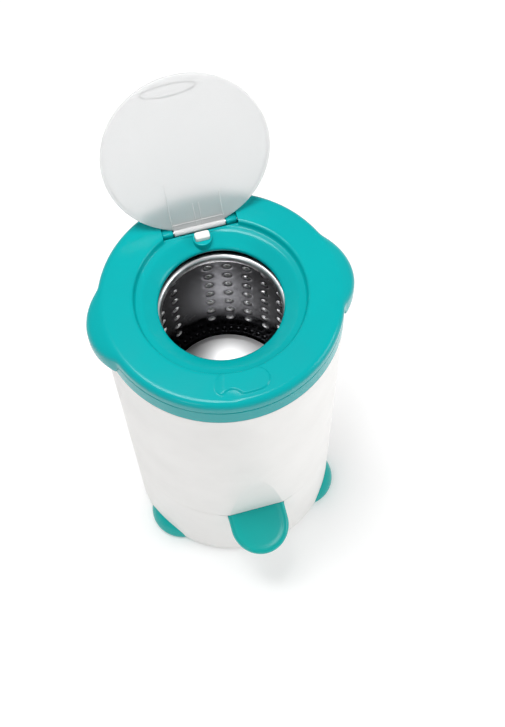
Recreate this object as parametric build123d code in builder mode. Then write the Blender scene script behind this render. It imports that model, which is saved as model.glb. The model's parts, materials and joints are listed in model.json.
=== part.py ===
from build123d import *
import os
from math import cos, radians, sin, sqrt

# Portable centrifugal spin dryer. The floor is z = 0 and the drum turns about x = y = 0.
# The front (-Y) carries the drain spout; the lid is hinged at the rear (+Y).
# The lid is modelled standing open on its stop. Lengths are in millimetres.

# ---- overall ----
top_height = 646.0          # floor to the flat top of the cover
cover_radius = 185.0
base_clearance = 8.0        # gap between the floor and the base's lower edge
floor_top = base_clearance + 3.0
base_radius = 174.3         # casing radius at the base's lower edge
casing_top_radius = 184.6
seam_height = 187.0         # joint between the base and the upper casing
collar_bottom = 591.3
collar_top = 622.9
skirt_bottom = 623.3
wall = 2.8                  # moulded wall thickness
facet_cut = (160.0, 330.0)  # sheet that trims the casing to its front flat

# ---- cover ----
edge_round = 10.7
recess_radius = 129.0
ledge_height = top_height - 11.5
ledge_inner = 118.0
mouth_radius = 95.2
mouth_top = top_height - 26.3
lip_bottom = top_height - 40.0
ledge_under = ledge_height - wall
neck = 2.5                  # wall thickness round the mouth
handle_centre = 125.5
handle_radius = 79.7
handle_top = 637.0
handle_bottom = 600.0
screw_circle = 174.0
screw_count = 6
screw_radius = 1.9

# ---- lid and hinge ----
hinge_y = 126.5
hinge_height = top_height - 8.0
lid_radius = 127.5
lid_thickness = 3.0
lid_open_angle = 117.0      # from closed to standing open on the stop
lid_lean = radians(180 - lid_open_angle)
bead_height = 2.0           # stiffening bead on the lid's outside face
lid_reach = (hinge_y + (hinge_y + lid_radius - 0.5) * cos(lid_lean)
             + (lid_thickness / 2 + bead_height) * sin(lid_lean))
pin_radius = 2.5
knuckle_radius = 5.2
knuckle_half = 40.0
pocket_half = 59.0
pocket_front = 119.5
pocket_rear = 134.6
pocket_middle = (pocket_front + pocket_rear) / 2
pocket_depth = pocket_rear - pocket_front
pocket_floor = hinge_height - 12.0
pin_half = pocket_half + 6.0

# ---- interlock plunger ----
plunger_y = 110.5
plunger_boss_radius = 15.0
cap_size = (23.0, 13.0)
cap_corner = 3.7
plunger_travel = 8.0
stem_y = 150.0
stem_radius = 3.0
arm_height = 611.0
guide_top = 589.0

# ---- facet and spout ----
facet_depth = 171.1         # distance of the flat from the axis at its lower edge
facet_apex = 331.0
spout_slope = 15.0
spout_half_width = 50.0
spout_straight = 25.0
spout_root = 30.0           # reach inside the base, below the pan's outlet
spout_depth = 14.0
spout_rim = 6.0
# the spout reaches as far forward as the open lid leans back
spout_length = (lid_reach - facet_depth) / cos(radians(spout_slope))
channel_depth = 8.0

# ---- drum ----
drum_radius = 122.0
sheet = 1.0
drum_floor_height = 321.0
drum_wall_top = 582.0
dome_radius = 100.0
dome_rise = 16.0
column_count = 24
first_column = 87.5         # angle of the first column, from +X
row_pitch = 28.0
row_count = 8
hole_radius = 2.5

# ---- drive ----
shaft_radius = 8.0
shaft_bottom = 57.0
pan_height = 206.0
pan_radius = 168.0
outlet_y = 155.5            # drop of the pan's outlet, in front of the axis
bracket_height = 168.0
mount_circle = 138.0
motor_radius = 62.0
motor_bottom = 62.0
bell_height = 12.0
bearing_radius = 20.0
core_bottom = 90.0
core_top = 138.0
rotor_radius = 35.3
hub_flange_radius = 112.0

# ---- mains cord inlet ----
cord_angle = 60.0           # from +X towards the rear
cord_height = 60.0
cord_hole_radius = 7.0
cord_bore_radius = 3.6
bush_length = 14.0

os.makedirs("parts", exist_ok=True)


def save(piece, name):
    piece.part.label = name
    export_step(piece.part, f"parts/{name}.step")


def wall_radius(height):
    """Outer radius of the tapered casing at a height above the floor."""
    rise = (height - base_clearance) / (collar_bottom - base_clearance)
    return base_radius + (casing_top_radius - base_radius) * rise


def facet_plane(inset):
    """Plane of the front flat, its normal pointing out of the casing."""
    lean = (wall_radius(facet_apex) - facet_depth) / (facet_apex - seam_height)
    size = sqrt(1 + lean * lean)
    normal = Vector(0, -1 / size, -lean / size)
    start = Vector(0, -facet_depth, seam_height) - normal * inset
    return Plane(origin=start, x_dir=(1, 0, 0), z_dir=normal)


def cord_plane(reach):
    """Plane across the cord's way through the rear wall, at a distance from the axis."""
    turn = radians(cord_angle)
    outward = Vector(cos(turn), sin(turn), 0)
    place = outward * reach + Vector(0, 0, cord_height)
    return Plane(place, x_dir=(-sin(turn), cos(turn), 0), z_dir=outward)


# ---------------------------------------------------------------- outer casing
with BuildPart() as casing_core:
    with BuildSketch(Plane.XZ):
        with BuildLine():
            Polyline(
                (0, seam_height - 1),
                (wall_radius(seam_height - 1) - wall, seam_height - 1),
                (casing_top_radius - 3.5 - wall, collar_bottom - 8),
                (casing_top_radius - 3.3 - wall, collar_top),
                (0, collar_top),
                close=True,
            )
        make_face()
    revolve(axis=Axis.Z)
    with BuildSketch(facet_plane(wall)):
        Rectangle(*facet_cut)
    extrude(amount=30, mode=Mode.SUBTRACT)

with BuildPart() as outer_casing:
    with BuildSketch(Plane.XZ):
        with BuildLine():
            Polyline(
                (0, seam_height + 0.6),
                (wall_radius(seam_height + 0.6), seam_height + 0.6),
                (casing_top_radius, collar_bottom - 0.5),
                (casing_top_radius - 3.3, collar_bottom - 0.5),
                (casing_top_radius - 3.3, collar_top - 4),
                (0, collar_top - 4),
                close=True,
            )
        make_face()
    revolve(axis=Axis.Z)
    with BuildSketch(facet_plane(0)):
        Rectangle(*facet_cut)
    extrude(amount=30, mode=Mode.SUBTRACT)
    add(casing_core.part, mode=Mode.SUBTRACT)
save(outer_casing, "outer_casing")

# ------------------------------------------------------------------------ base
spigot_radius = wall_radius(seam_height) - wall - 0.3
post_radius = 15.0
post_top = bracket_height - 20.0
pan_post_radius = 9.0
with BuildPart() as base:
    with BuildSketch(Plane.XZ):
        with BuildLine():
            Polyline(
                (60, base_clearance),
                (base_radius - 1.5, base_clearance),
                (base_radius, base_clearance + 1.5),
                (wall_radius(seam_height), seam_height),
                (spigot_radius, seam_height),
                (spigot_radius, seam_height + 8),
                (spigot_radius - 2.4, seam_height + 8),
                (spigot_radius - 2.4, seam_height - 6),
                (base_radius - wall, floor_top),
                (60, floor_top),
                close=True,
            )
        make_face()
    revolve(axis=Axis.Z)
    with BuildSketch(Plane.XZ.offset(150)):
        with Locations((0, seam_height - 8.7)):
            Rectangle(2 * spout_half_width + 0.8, 19.6)
    extrude(amount=40, mode=Mode.SUBTRACT)
    with BuildSketch(Plane.XZ.offset(140)):
        with Locations((0, seam_height + 6)):
            Rectangle(130, 14)
    extrude(amount=50, mode=Mode.SUBTRACT)
    with BuildSketch(cord_plane(100)):
        Circle(cord_hole_radius)
    extrude(amount=100, mode=Mode.SUBTRACT)
save(base, "base")

# three posts carry the motor, and three the drain pan
with BuildPart() as base_posts:
    with BuildSketch(Plane.XY.offset(floor_top)):
        with PolarLocations(mount_circle, 3, start_angle=30):
            Circle(post_radius)
    extrude(amount=post_top - floor_top)
    with BuildSketch(Plane.XY.offset(floor_top)):
        with PolarLocations(mount_circle, 3, start_angle=90):
            Circle(pan_post_radius)
    extrude(amount=pan_height + 3 - floor_top)
save(base_posts, "base_posts")

# ------------------------------------------------------------------------ feet
foot_centre = 131.0
foot_radius = 58.0
foot_rise = 40.0
sole_height = 2.5
foot_angles = {"foot_left": 210.0, "foot_right": 330.0, "foot_rear": 90.0}
foot_pad_radius = 24.0
foot_pad_reach = foot_centre + 6.0

with BuildPart() as base_void:
    with BuildSketch(Plane.XZ):
        with BuildLine():
            Polyline(
                (0, base_clearance),
                (base_radius + 0.05, base_clearance),
                (wall_radius(100) + 0.05, 100),
                (0, 100),
                close=True,
            )
        make_face()
    revolve(axis=Axis.Z)

for name, angle in foot_angles.items():
    turn = Plane.XY.rotated((0, 0, angle))
    middle = turn.from_local_coords(Vector(foot_centre, 0, 0))
    profile = Plane(origin=middle, x_dir=turn.x_dir, z_dir=-turn.y_dir)
    with BuildPart() as foot:
        with BuildSketch(profile):
            with BuildLine():
                Line((0, sole_height), (foot_radius - 4, sole_height))
                Line((foot_radius - 4, sole_height), (foot_radius, sole_height + 4))
                EllipticalCenterArc((0, sole_height + 4), foot_radius, foot_rise, start_angle=0, arc_size=90)
                Line((0, sole_height + 4 + foot_rise), (0, sole_height))
            make_face()
        revolve(axis=Axis(profile.origin, (0, 0, 1)))
        add(base_void.part, mode=Mode.SUBTRACT)
        with BuildSketch(Plane.XY.offset(sole_height)):
            with Locations(turn.from_local_coords(Vector(foot_pad_reach, 0, 0))):
                Circle(foot_pad_radius + 0.2)
        extrude(amount=2.0, mode=Mode.SUBTRACT)
    save(foot, name)

with BuildPart() as foot_pads:
    with BuildSketch(Plane.XY):
        with PolarLocations(foot_pad_reach, 3, start_angle=90):
            Circle(foot_pad_radius)
    extrude(amount=sole_height + 2.0)
    chamfer(foot_pads.edges().group_by(Axis.Z)[0], length=1.0)
save(foot_pads, "foot_pads")

# ----------------------------------------------------------------------- spout
spout_plane = Plane(
    origin=(0, -facet_depth, seam_height - 1),
    x_dir=(1, 0, 0),
    z_dir=(0, -sin(radians(spout_slope)), cos(radians(spout_slope))),
)


def tongue(inset, rear):
    """Outline of the spout, square to its rim: straight sides and an elliptic end."""
    half = spout_half_width - inset
    reach = spout_length - spout_straight - inset
    with BuildLine() as edge:
        Line((half, rear), (half, -spout_straight))
        EllipticalCenterArc((0, -spout_straight), half, reach, start_angle=180, arc_size=180)
        Line((-half, -spout_straight), (-half, rear))
        Line((-half, rear), (half, rear))
    return edge.line


with BuildPart() as spout:
    with BuildSketch(spout_plane.offset(-spout_depth)):
        make_face(tongue(0, spout_root).edges())
    extrude(amount=spout_depth)
    with BuildSketch(spout_plane.offset(-channel_depth)):
        make_face(tongue(spout_rim, spout_root - spout_rim).edges())
    extrude(amount=channel_depth + 1, mode=Mode.SUBTRACT)
    with BuildSketch(spout_plane.offset(-spout_depth - 1)):
        make_face(tongue(2.5, spout_root - 2.5).edges())
    extrude(amount=spout_depth - channel_depth - 1.5, mode=Mode.SUBTRACT)
save(spout, "spout")

# ----------------------------------------------------------------- collar ring
collar_inner = casing_top_radius - 3.1
with BuildPart() as collar_ring:
    with BuildSketch(Plane.XZ):
        with BuildLine():
            Polyline(
                (collar_inner, collar_bottom),
                (cover_radius - 0.6, collar_bottom),
                (cover_radius, collar_bottom + 1.2),
                (cover_radius, collar_top - 1.6),
                (cover_radius - 1.6, collar_top),
                (165, collar_top),
                (165, collar_top - 3),
                (collar_inner, collar_top - 3),
                close=True,
            )
        make_face()
    revolve(axis=Axis.Z)
    with BuildSketch(Plane.XY.offset(collar_top)):
        with PolarLocations(screw_circle, screw_count, start_angle=30):
            Circle(2.2)
    extrude(amount=-10, mode=Mode.SUBTRACT)
save(collar_ring, "collar_ring")

# ------------------------------------------------------------------- top cover
round_start = cover_radius - edge_round
with BuildPart() as top_cover:
    with BuildSketch(Plane.XZ):
        with BuildLine():
            RadiusArc((cover_radius, top_height - edge_round), (round_start, top_height), -edge_round)
            Polyline(
                (round_start, top_height),
                (recess_radius + 1.5, top_height),
                (recess_radius, top_height - 1.5),
                (recess_radius, ledge_height),
                (ledge_inner, ledge_height),
                (mouth_radius + 3, mouth_top + 2),
                (mouth_radius, mouth_top - 1.5),
                (mouth_radius, lip_bottom),
                (mouth_radius + neck, lip_bottom),
                (mouth_radius + neck, mouth_top - 4),
                (ledge_inner + 1, ledge_under),
                (recess_radius + wall, ledge_under),
                (recess_radius + wall, top_height - wall),
                (round_start, top_height - wall),
            )
            RadiusArc(
                (round_start, top_height - wall),
                (cover_radius - wall, top_height - edge_round),
                edge_round - wall,
            )
            Polyline(
                (cover_radius - wall, top_height - edge_round),
                (cover_radius - wall, skirt_bottom),
                (cover_radius, skirt_bottom),
                (cover_radius, top_height - edge_round),
            )
        make_face()
    revolve(axis=Axis.Z)
    # screw bosses under the flat ring
    with BuildSketch(Plane.XY.offset(collar_top)):
        with PolarLocations(screw_circle, screw_count, start_angle=30):
            Circle(5)
    extrude(amount=top_height - wall + 0.5 - collar_top)
    # round boss for the plunger, standing out of the funnel
    with BuildSketch(Plane.XY.offset(arm_height + 9)):
        with Locations((0, plunger_y)):
            Circle(plunger_boss_radius)
    extrude(amount=ledge_height - arm_height - 9)
    # box under the ring that holds the hinge
    with BuildSketch(Plane.XY.offset(pocket_floor - 3)):
        with Locations((0, pocket_middle)):
            Rectangle(2 * pocket_half + 14, pocket_depth + 6)
    extrude(amount=ledge_height - 1 - pocket_floor + 3)
    with BuildSketch(Plane.XY.offset(pocket_floor - 3)):
        for side in (-1, 1):
            with Locations((side * (pocket_half + 3.5), pocket_middle)):
                Rectangle(7, pocket_depth + 6)
        with Locations((0, pocket_rear + 1.5)):
            Rectangle(2 * pocket_half + 14, 3)
    extrude(amount=top_height - 1 - pocket_floor + 3)
    with BuildSketch(Plane.XY.offset(pocket_floor)):
        with Locations((0, pocket_middle)):
            Rectangle(2 * pocket_half, pocket_depth)
    extrude(amount=40, mode=Mode.SUBTRACT)
    # the recess wall stands back beside the hinge, clear of the swinging lid
    with BuildSketch(Plane.XY.offset(ledge_height)):
        with Locations((0, pocket_middle - 4)):
            Rectangle(2 * pocket_half, pocket_depth + 8)
    extrude(amount=20, mode=Mode.SUBTRACT)
    with BuildSketch(Plane.YZ.offset(-pin_half)):
        with Locations((hinge_y, hinge_height)):
            Circle(pin_radius)
    extrude(amount=2 * pin_half, mode=Mode.SUBTRACT)
    # guide hole of the plunger
    with BuildSketch(Plane.XY.offset(arm_height)):
        with Locations((0, plunger_y)):
            RectangleRounded(cap_size[0] + 0.6, cap_size[1] + 0.6, cap_corner + 0.3)
    extrude(amount=60, mode=Mode.SUBTRACT)
    # raised pad in front of the recess
    with BuildSketch(Plane.XY.offset(top_height - 1)):
        SlotArc(CenterArc((0, 0), 149.5, 256, 22), 34)
    extrude(amount=3.5)
    # grips at both sides, hollow from below
    for side in (-1, 1):
        with BuildSketch(Plane.XY.offset(handle_bottom)):
            with Locations((side * handle_centre, 0)):
                Circle(handle_radius)
            Circle(cover_radius + 0.4, mode=Mode.SUBTRACT)
            with Locations((-side * 130, 0)):
                Rectangle(300, 400, mode=Mode.SUBTRACT)
        extrude(amount=handle_top - 5 - handle_bottom)
        with BuildSketch(Plane.XY.offset(skirt_bottom)):
            with Locations((side * handle_centre, 0)):
                Circle(handle_radius)
            Circle(cover_radius - 2, mode=Mode.SUBTRACT)
            with Locations((-side * 130, 0)):
                Rectangle(300, 400, mode=Mode.SUBTRACT)
        extrude(amount=handle_top - skirt_bottom)
        with BuildSketch(Plane.XY.offset(handle_bottom - 1)):
            with Locations((side * handle_centre, 0)):
                Circle(handle_radius - 3.2)
            Circle(cover_radius + 3.4, mode=Mode.SUBTRACT)
            with Locations((-side * 130, 0)):
                Rectangle(300, 400, mode=Mode.SUBTRACT)
        extrude(amount=handle_top - 4 - handle_bottom, mode=Mode.SUBTRACT)
    # screw pilot holes
    with BuildSketch(Plane.XY.offset(collar_top)):
        with PolarLocations(screw_circle, screw_count, start_angle=30):
            Circle(screw_radius)
    extrude(amount=16, mode=Mode.SUBTRACT)
save(top_cover, "top_cover")

with BuildPart() as cover_screws:
    with BuildSketch(Plane.XY.offset(collar_top - 3 - 2.6)):
        with PolarLocations(screw_circle, screw_count, start_angle=30):
            Circle(4)
    extrude(amount=2.6)
    with BuildSketch(Plane.XY.offset(collar_top - 3)):
        with PolarLocations(screw_circle, screw_count, start_angle=30):
            Circle(screw_radius)
    extrude(amount=15)
save(cover_screws, "cover_screws")

# ------------------------------------------------------------------------- lid
lid_plane = Plane(
    origin=(0, hinge_y, hinge_height),
    x_dir=(1, 0, 0),
    z_dir=(0, -sin(lid_lean), cos(lid_lean)),
)
with BuildPart() as lid:
    with BuildSketch(lid_plane.offset(-lid_thickness / 2)):
        with Locations((0, hinge_y)):
            Circle(lid_radius)
        with Locations((0, -4)):
            Rectangle(2 * knuckle_half + 20, 8, mode=Mode.SUBTRACT)
    extrude(amount=lid_thickness)
    # stiffening bead round the outside face
    with BuildSketch(lid_plane.offset(-lid_thickness / 2 - bead_height)):
        with Locations((0, hinge_y)):
            Circle(lid_radius - 0.5)
            Circle(lid_radius - 4.5, mode=Mode.SUBTRACT)
        Rectangle(2 * knuckle_half + 60, 60, mode=Mode.SUBTRACT)
    extrude(amount=bead_height + 0.2)
    # lens-shaped finger pull at the free edge, on the outside face
    with BuildSketch(lid_plane.offset(-lid_thickness / 2 - 1.8)):
        with Locations((-8, hinge_y + 106)):
            Ellipse(42, 10)
    extrude(amount=2)
    # hinge plate and knuckle
    with BuildSketch(lid_plane.offset(-lid_thickness / 2 - 1.2)):
        with Locations((0, 16)):
            Rectangle(2 * knuckle_half, 26)
    extrude(amount=1.4)
    with BuildSketch(Plane.YZ.offset(-knuckle_half)):
        with Locations((hinge_y, hinge_height)):
            Circle(knuckle_radius)
    extrude(amount=2 * knuckle_half)
    with BuildSketch(Plane.YZ.offset(-knuckle_half - 20)):
        with Locations((hinge_y, hinge_height)):
            Circle(pin_radius + 0.06)
    extrude(amount=2 * knuckle_half + 40, mode=Mode.SUBTRACT)
save(lid, "lid")

with BuildPart() as hinge_pin:
    with BuildSketch(Plane.YZ.offset(-pin_half)):
        with Locations((hinge_y, hinge_height)):
            Circle(pin_radius)
    extrude(amount=2 * pin_half)
save(hinge_pin, "hinge_pin")

# --------------------------------------------------------- interlock and switch
with BuildPart() as interlock_plunger:
    with BuildSketch(Plane.XY.offset(arm_height)):
        with Locations((0, plunger_y)):
            RectangleRounded(*cap_size, cap_corner)
    extrude(amount=ledge_height + plunger_travel + 0.2 - arm_height)
    chamfer(interlock_plunger.edges().group_by(Axis.Z)[-1], length=1.5)
    with BuildSketch(Plane.XY.offset(arm_height)):
        with Locations((0, (plunger_y + stem_y + 5) / 2)):
            Rectangle(12, stem_y + 5 - plunger_y)
    extrude(amount=5)
    with BuildSketch(Plane.XY.offset(arm_height - 38)):
        with Locations((0, stem_y)):
            Circle(stem_radius)
    extrude(amount=38)
save(interlock_plunger, "interlock_plunger")

with BuildPart() as plunger_spring:
    with BuildLine():
        Helix(pitch=4.2, height=arm_height - guide_top - 3.0, radius=5.2, center=(0, stem_y, guide_top + 1.2))
    with BuildSketch(Plane(origin=(5.2, stem_y, guide_top + 1.2), x_dir=(1, 0, 0), z_dir=(0, 1, 0))):
        Circle(0.5)
    sweep(is_frenet=True)
save(plunger_spring, "plunger_spring")

with BuildPart() as switch_bracket:
    with BuildSketch(Plane.XY.offset(guide_top - 3)):
        Circle(casing_top_radius - 3.3 - wall - 0.3)
        with Locations((0, 160)):
            Rectangle(44, 44, mode=Mode.INTERSECT)
    extrude(amount=3)
    with BuildSketch(Plane.XY.offset(guide_top - 33)):
        Circle(casing_top_radius - 3.3 - wall - 0.3 - 0.6)
        with Locations((0, 177)):
            Rectangle(44, 12, mode=Mode.INTERSECT)
    extrude(amount=30)
    with BuildSketch(Plane.XY.offset(guide_top - 4)):
        with Locations((0, stem_y)):
            Circle(stem_radius + 0.08)
    extrude(amount=8, mode=Mode.SUBTRACT)
save(switch_bracket, "switch_bracket")

with BuildPart() as lid_switch:
    with BuildSketch(Plane.XY.offset(guide_top - 32)):
        with Locations((0, 163)):
            Rectangle(28, 15)
    extrude(amount=16)
    with BuildSketch(Plane.XY.offset(guide_top - 40)):
        with Locations((-9, 163), (0, 163), (9, 163)):
            Rectangle(0.8, 6.3)
    extrude(amount=8)
save(lid_switch, "lid_switch")

# ------------------------------------------------------------------- drain pan
with BuildPart() as drain_pan:
    with BuildSketch(Plane.XZ):
        with BuildLine():
            Polyline(
                (20, pan_height + 40),
                (27, pan_height + 40),
                (29, pan_height + 3),
                (pan_radius - 4, pan_height + 3),
                (pan_radius, pan_height + 26),
                (pan_radius, pan_height + 30),
                (pan_radius - 3, pan_height + 30),
                (pan_radius - 7, pan_height + 7),
                (33, pan_height + 7),
                (31, pan_height + 44),
                (20, pan_height + 44),
                close=True,
            )
        make_face()
    revolve(axis=Axis.Z)
    # outlet that drops the water into the spout's root
    with BuildSketch(Plane.XY.offset(pan_height - 14)):
        with Locations((0, -outlet_y)):
            SlotOverall(44, 11)
    extrude(amount=20)
    with BuildSketch(Plane.XY.offset(pan_height - 15)):
        with Locations((0, -outlet_y)):
            SlotOverall(40, 7)
    extrude(amount=30, mode=Mode.SUBTRACT)
save(drain_pan, "drain_pan")

with BuildPart() as shaft_seal:
    with BuildSketch(Plane.XZ):
        with BuildLine():
            Polyline(
                (shaft_radius + 0.09, pan_height + 34),
                (19.9, pan_height + 34),
                (19.9, pan_height + 44),
                (shaft_radius + 0.09, pan_height + 44),
                close=True,
            )
        make_face()
    revolve(axis=Axis.Z)
save(shaft_seal, "shaft_seal")

# ----------------------------------------------------------------------- motor
rubber_height = bracket_height - post_top
with BuildPart() as motor_mounts:
    with BuildSketch(Plane.XY.offset(post_top)):
        with PolarLocations(mount_circle, 3, start_angle=30):
            Circle(13)
    extrude(amount=rubber_height)
save(motor_mounts, "motor_mounts")

with BuildPart() as motor_bracket:
    with BuildSketch(Plane.XY.offset(bracket_height)):
        Circle(80)
        for turn in (30, 150, 270):
            with Locations(Location((0, 0, 0), turn)):
                with Locations((mount_circle / 2, 0)):
                    Rectangle(mount_circle, 34)
                with Locations((mount_circle, 0)):
                    Circle(17)
        Circle(24, mode=Mode.SUBTRACT)
        with PolarLocations(motor_radius - 8, 4, start_angle=45):
            Circle(2.6, mode=Mode.SUBTRACT)
    extrude(amount=3)
save(motor_bracket, "motor_bracket")

with BuildPart() as mount_bolts:
    with BuildSketch(Plane.XY.offset(bracket_height + 3)):
        with PolarLocations(mount_circle, 3, start_angle=30):
            RegularPolygon(radius=6, side_count=6)
    extrude(amount=4)
save(mount_bolts, "mount_bolts")

upper_bell_bottom = bracket_height - bell_height
bolt_circle = motor_radius - 8
for name, low in (("motor_lower_bell", motor_bottom), ("motor_upper_bell", upper_bell_bottom)):
    with BuildPart() as bell:
        with BuildSketch(Plane.XY.offset(low)):
            Circle(motor_radius)
            Circle(bearing_radius, mode=Mode.SUBTRACT)
            with PolarLocations(bolt_circle, 4, start_angle=45):
                Circle(2, mode=Mode.SUBTRACT)
        extrude(amount=bell_height)
    save(bell, name)

for name, low in (("lower_bearing", motor_bottom), ("upper_bearing", upper_bell_bottom)):
    with BuildPart() as bearing:
        with BuildSketch(Plane.XY.offset(low)):
            Circle(bearing_radius)
            Circle(shaft_radius + 0.04, mode=Mode.SUBTRACT)
        extrude(amount=bell_height)
    save(bearing, name)

with BuildPart() as motor_shell:
    with BuildSketch(Plane.XY.offset(motor_bottom + bell_height)):
        Circle(motor_radius)
        Circle(motor_radius - 3.5, mode=Mode.SUBTRACT)
    extrude(amount=upper_bell_bottom - motor_bottom - bell_height)
save(motor_shell, "motor_shell")

with BuildPart() as motor_screws:
    with BuildSketch(Plane.XY.offset(bracket_height + 3)):
        with PolarLocations(bolt_circle, 4, start_angle=45):
            Circle(4)
    extrude(amount=3)
    with BuildSketch(Plane.XY.offset(bracket_height - 8)):
        with PolarLocations(bolt_circle, 4, start_angle=45):
            Circle(2)
    extrude(amount=11)
    with BuildSketch(Plane.XY.offset(motor_bottom - 3)):
        with PolarLocations(bolt_circle, 4, start_angle=45):
            Circle(4)
    extrude(amount=3)
    with BuildSketch(Plane.XY.offset(motor_bottom)):
        with PolarLocations(bolt_circle, 4, start_angle=45):
            Circle(2)
    extrude(amount=8)
save(motor_screws, "motor_screws")

with BuildPart() as stator_core:
    with BuildSketch(Plane.XY.offset(core_bottom)):
        Circle(motor_radius - 3.5)
        Circle(rotor_radius + 0.7, mode=Mode.SUBTRACT)
    extrude(amount=core_top - core_bottom)
save(stator_core, "stator_core")

with BuildPart() as windings:
    for low in (core_bottom - 11, core_top):
        with BuildSketch(Plane.XY.offset(low)):
            Circle(motor_radius - 9)
            Circle(rotor_radius + 3, mode=Mode.SUBTRACT)
        extrude(amount=11)
    chamfer(windings.edges().filter_by(GeomType.CIRCLE), length=2)
save(windings, "windings")

with BuildPart() as rotor:
    with BuildSketch(Plane.XY.offset(core_bottom - 3)):
        Circle(rotor_radius)
        Circle(shaft_radius, mode=Mode.SUBTRACT)
    extrude(amount=core_top - core_bottom + 6)
save(rotor, "rotor")

nut_height = 8.0
with BuildPart() as drum_shaft:
    with BuildSketch(Plane.XY.offset(shaft_bottom)):
        Circle(shaft_radius)
    extrude(amount=drum_floor_height + nut_height + 2 - shaft_bottom)
    chamfer(drum_shaft.edges(), length=0.8)
save(drum_shaft, "drum_shaft")

# capacitor standing on the base's floor, with its strap
capacitor_place = (-118, 0)
capacitor_radius = 18.0
with BuildPart() as capacitor:
    with BuildSketch(Plane.XY.offset(floor_top)):
        with Locations(capacitor_place):
            Circle(capacitor_radius)
    extrude(amount=85)
    chamfer(capacitor.edges().filter_by(GeomType.CIRCLE), length=1.5)
save(capacitor, "capacitor")

with BuildPart() as capacitor_clamp:
    with BuildSketch(Plane.XY.offset(floor_top)):
        with Locations(capacitor_place):
            Circle(capacitor_radius + 2)
            Circle(capacitor_radius, mode=Mode.SUBTRACT)
    extrude(amount=26)
save(capacitor_clamp, "capacitor_clamp")

# cord inlet bush in the rear wall of the base
bush_face = cord_plane(wall_radius(cord_height) + 3.0)
with BuildPart() as cord_inlet_bush:
    with BuildSketch(bush_face):
        Circle(10)
    extrude(amount=-2.3)
    with BuildSketch(bush_face):
        Circle(cord_hole_radius)
    extrude(amount=-bush_length)
    with BuildSketch(bush_face):
        Circle(cord_bore_radius)
    extrude(amount=-bush_length, mode=Mode.SUBTRACT)
save(cord_inlet_bush, "cord_inlet_bush")

# ------------------------------------------------------------------------ drum
rim_outer = 16.0
rim_inner = 5.0
rim_top = drum_wall_top + rim_outer
rim_bend = rim_top - rim_inner
lip_radius = 93.0
lip_low = rim_top - 9.0
shell_low = drum_floor_height - 4.0
drum_inner = drum_radius - sheet
with BuildPart() as drum_shell:
    with BuildSketch(Plane.XZ):
        with BuildLine():
            Line((drum_radius, shell_low), (drum_radius, drum_wall_top))
            RadiusArc((drum_radius, drum_wall_top), (drum_radius - rim_outer, rim_top), -rim_outer)
            Line((drum_radius - rim_outer, rim_top), (lip_radius + rim_inner, rim_top))
            RadiusArc((lip_radius + rim_inner, rim_top), (lip_radius, rim_bend), -rim_inner)
            Polyline(
                (lip_radius, rim_bend),
                (lip_radius, lip_low),
                (lip_radius + sheet, lip_low),
                (lip_radius + sheet, rim_bend),
            )
            RadiusArc(
                (lip_radius + sheet, rim_bend),
                (lip_radius + rim_inner, rim_top - sheet),
                rim_inner - sheet,
            )
            Line((lip_radius + rim_inner, rim_top - sheet), (drum_radius - rim_outer, rim_top - sheet))
            RadiusArc(
                (drum_radius - rim_outer, rim_top - sheet),
                (drum_inner, drum_wall_top),
                rim_outer - sheet,
            )
            Polyline(
                (drum_inner, drum_wall_top),
                (drum_inner, shell_low),
                (drum_radius, shell_low),
            )
        make_face()
    revolve(axis=Axis.Z)
    # punched columns: five, then one left blank
    mid_height = (drum_floor_height + drum_wall_top) / 2
    for column in range(column_count):
        if column % 6 == 5:
            continue
        turn = radians(first_column - column * 360 / column_count)
        outward = Vector(cos(turn), sin(turn), 0)
        place = outward * (drum_radius - 8) + Vector(0, 0, mid_height)
        face = Plane(place, x_dir=(-sin(turn), cos(turn), 0), z_dir=outward)
        with BuildSketch(face):
            with GridLocations(1, row_pitch, 1, row_count):
                Circle(hole_radius)
        extrude(amount=16, mode=Mode.SUBTRACT)
save(drum_shell, "drum_shell")

dome_sphere = (dome_radius ** 2 + dome_rise ** 2) / (2 * dome_rise)
dome_edge = drum_floor_height + 5.0
dome_top = dome_edge + dome_rise
floor_upper = drum_floor_height + 1.2
with BuildPart() as drum_floor:
    with BuildSketch(Plane.XZ):
        with BuildLine():
            Polyline(
                (drum_inner, drum_floor_height),
                (dome_radius + 4, drum_floor_height),
                (dome_radius, dome_edge),
            )
            RadiusArc((dome_radius, dome_edge), (0, dome_top), -dome_sphere)
            Line((0, dome_top), (0, dome_top + 1))
            RadiusArc((0, dome_top + 1), (dome_radius, dome_edge + 1), dome_sphere)
            Polyline(
                (dome_radius, dome_edge + 1),
                (dome_radius + 5, floor_upper),
                (drum_inner, floor_upper),
                (drum_inner, drum_floor_height),
            )
        make_face()
    revolve(axis=Axis.Z)
    with BuildSketch(Plane.XY.offset(drum_floor_height - 1)):
        with PolarLocations(drum_radius - 6, 30):
            Circle(2)
    extrude(amount=4, mode=Mode.SUBTRACT)
save(drum_floor, "drum_floor")

with BuildPart() as drum_hub:
    with BuildSketch(Plane.XZ):
        with BuildLine():
            Polyline(
                (shaft_radius, drum_floor_height - 48),
                (17, drum_floor_height - 48),
                (19, drum_floor_height - 16),
                (60, drum_floor_height - 8),
                (hub_flange_radius, drum_floor_height - 5),
                (hub_flange_radius, drum_floor_height),
                (shaft_radius, drum_floor_height),
                close=True,
            )
        make_face()
    revolve(axis=Axis.Z)
save(drum_hub, "drum_hub")

with BuildPart() as hub_nut:
    with BuildSketch(Plane.XY.offset(drum_floor_height)):
        RegularPolygon(radius=14, side_count=6)
        Circle(shaft_radius, mode=Mode.SUBTRACT)
    extrude(amount=nut_height)
save(hub_nut, "hub_nut")
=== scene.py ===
import json
import math

import bmesh
import bpy
from mathutils import Matrix, Quaternion, Vector


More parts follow.
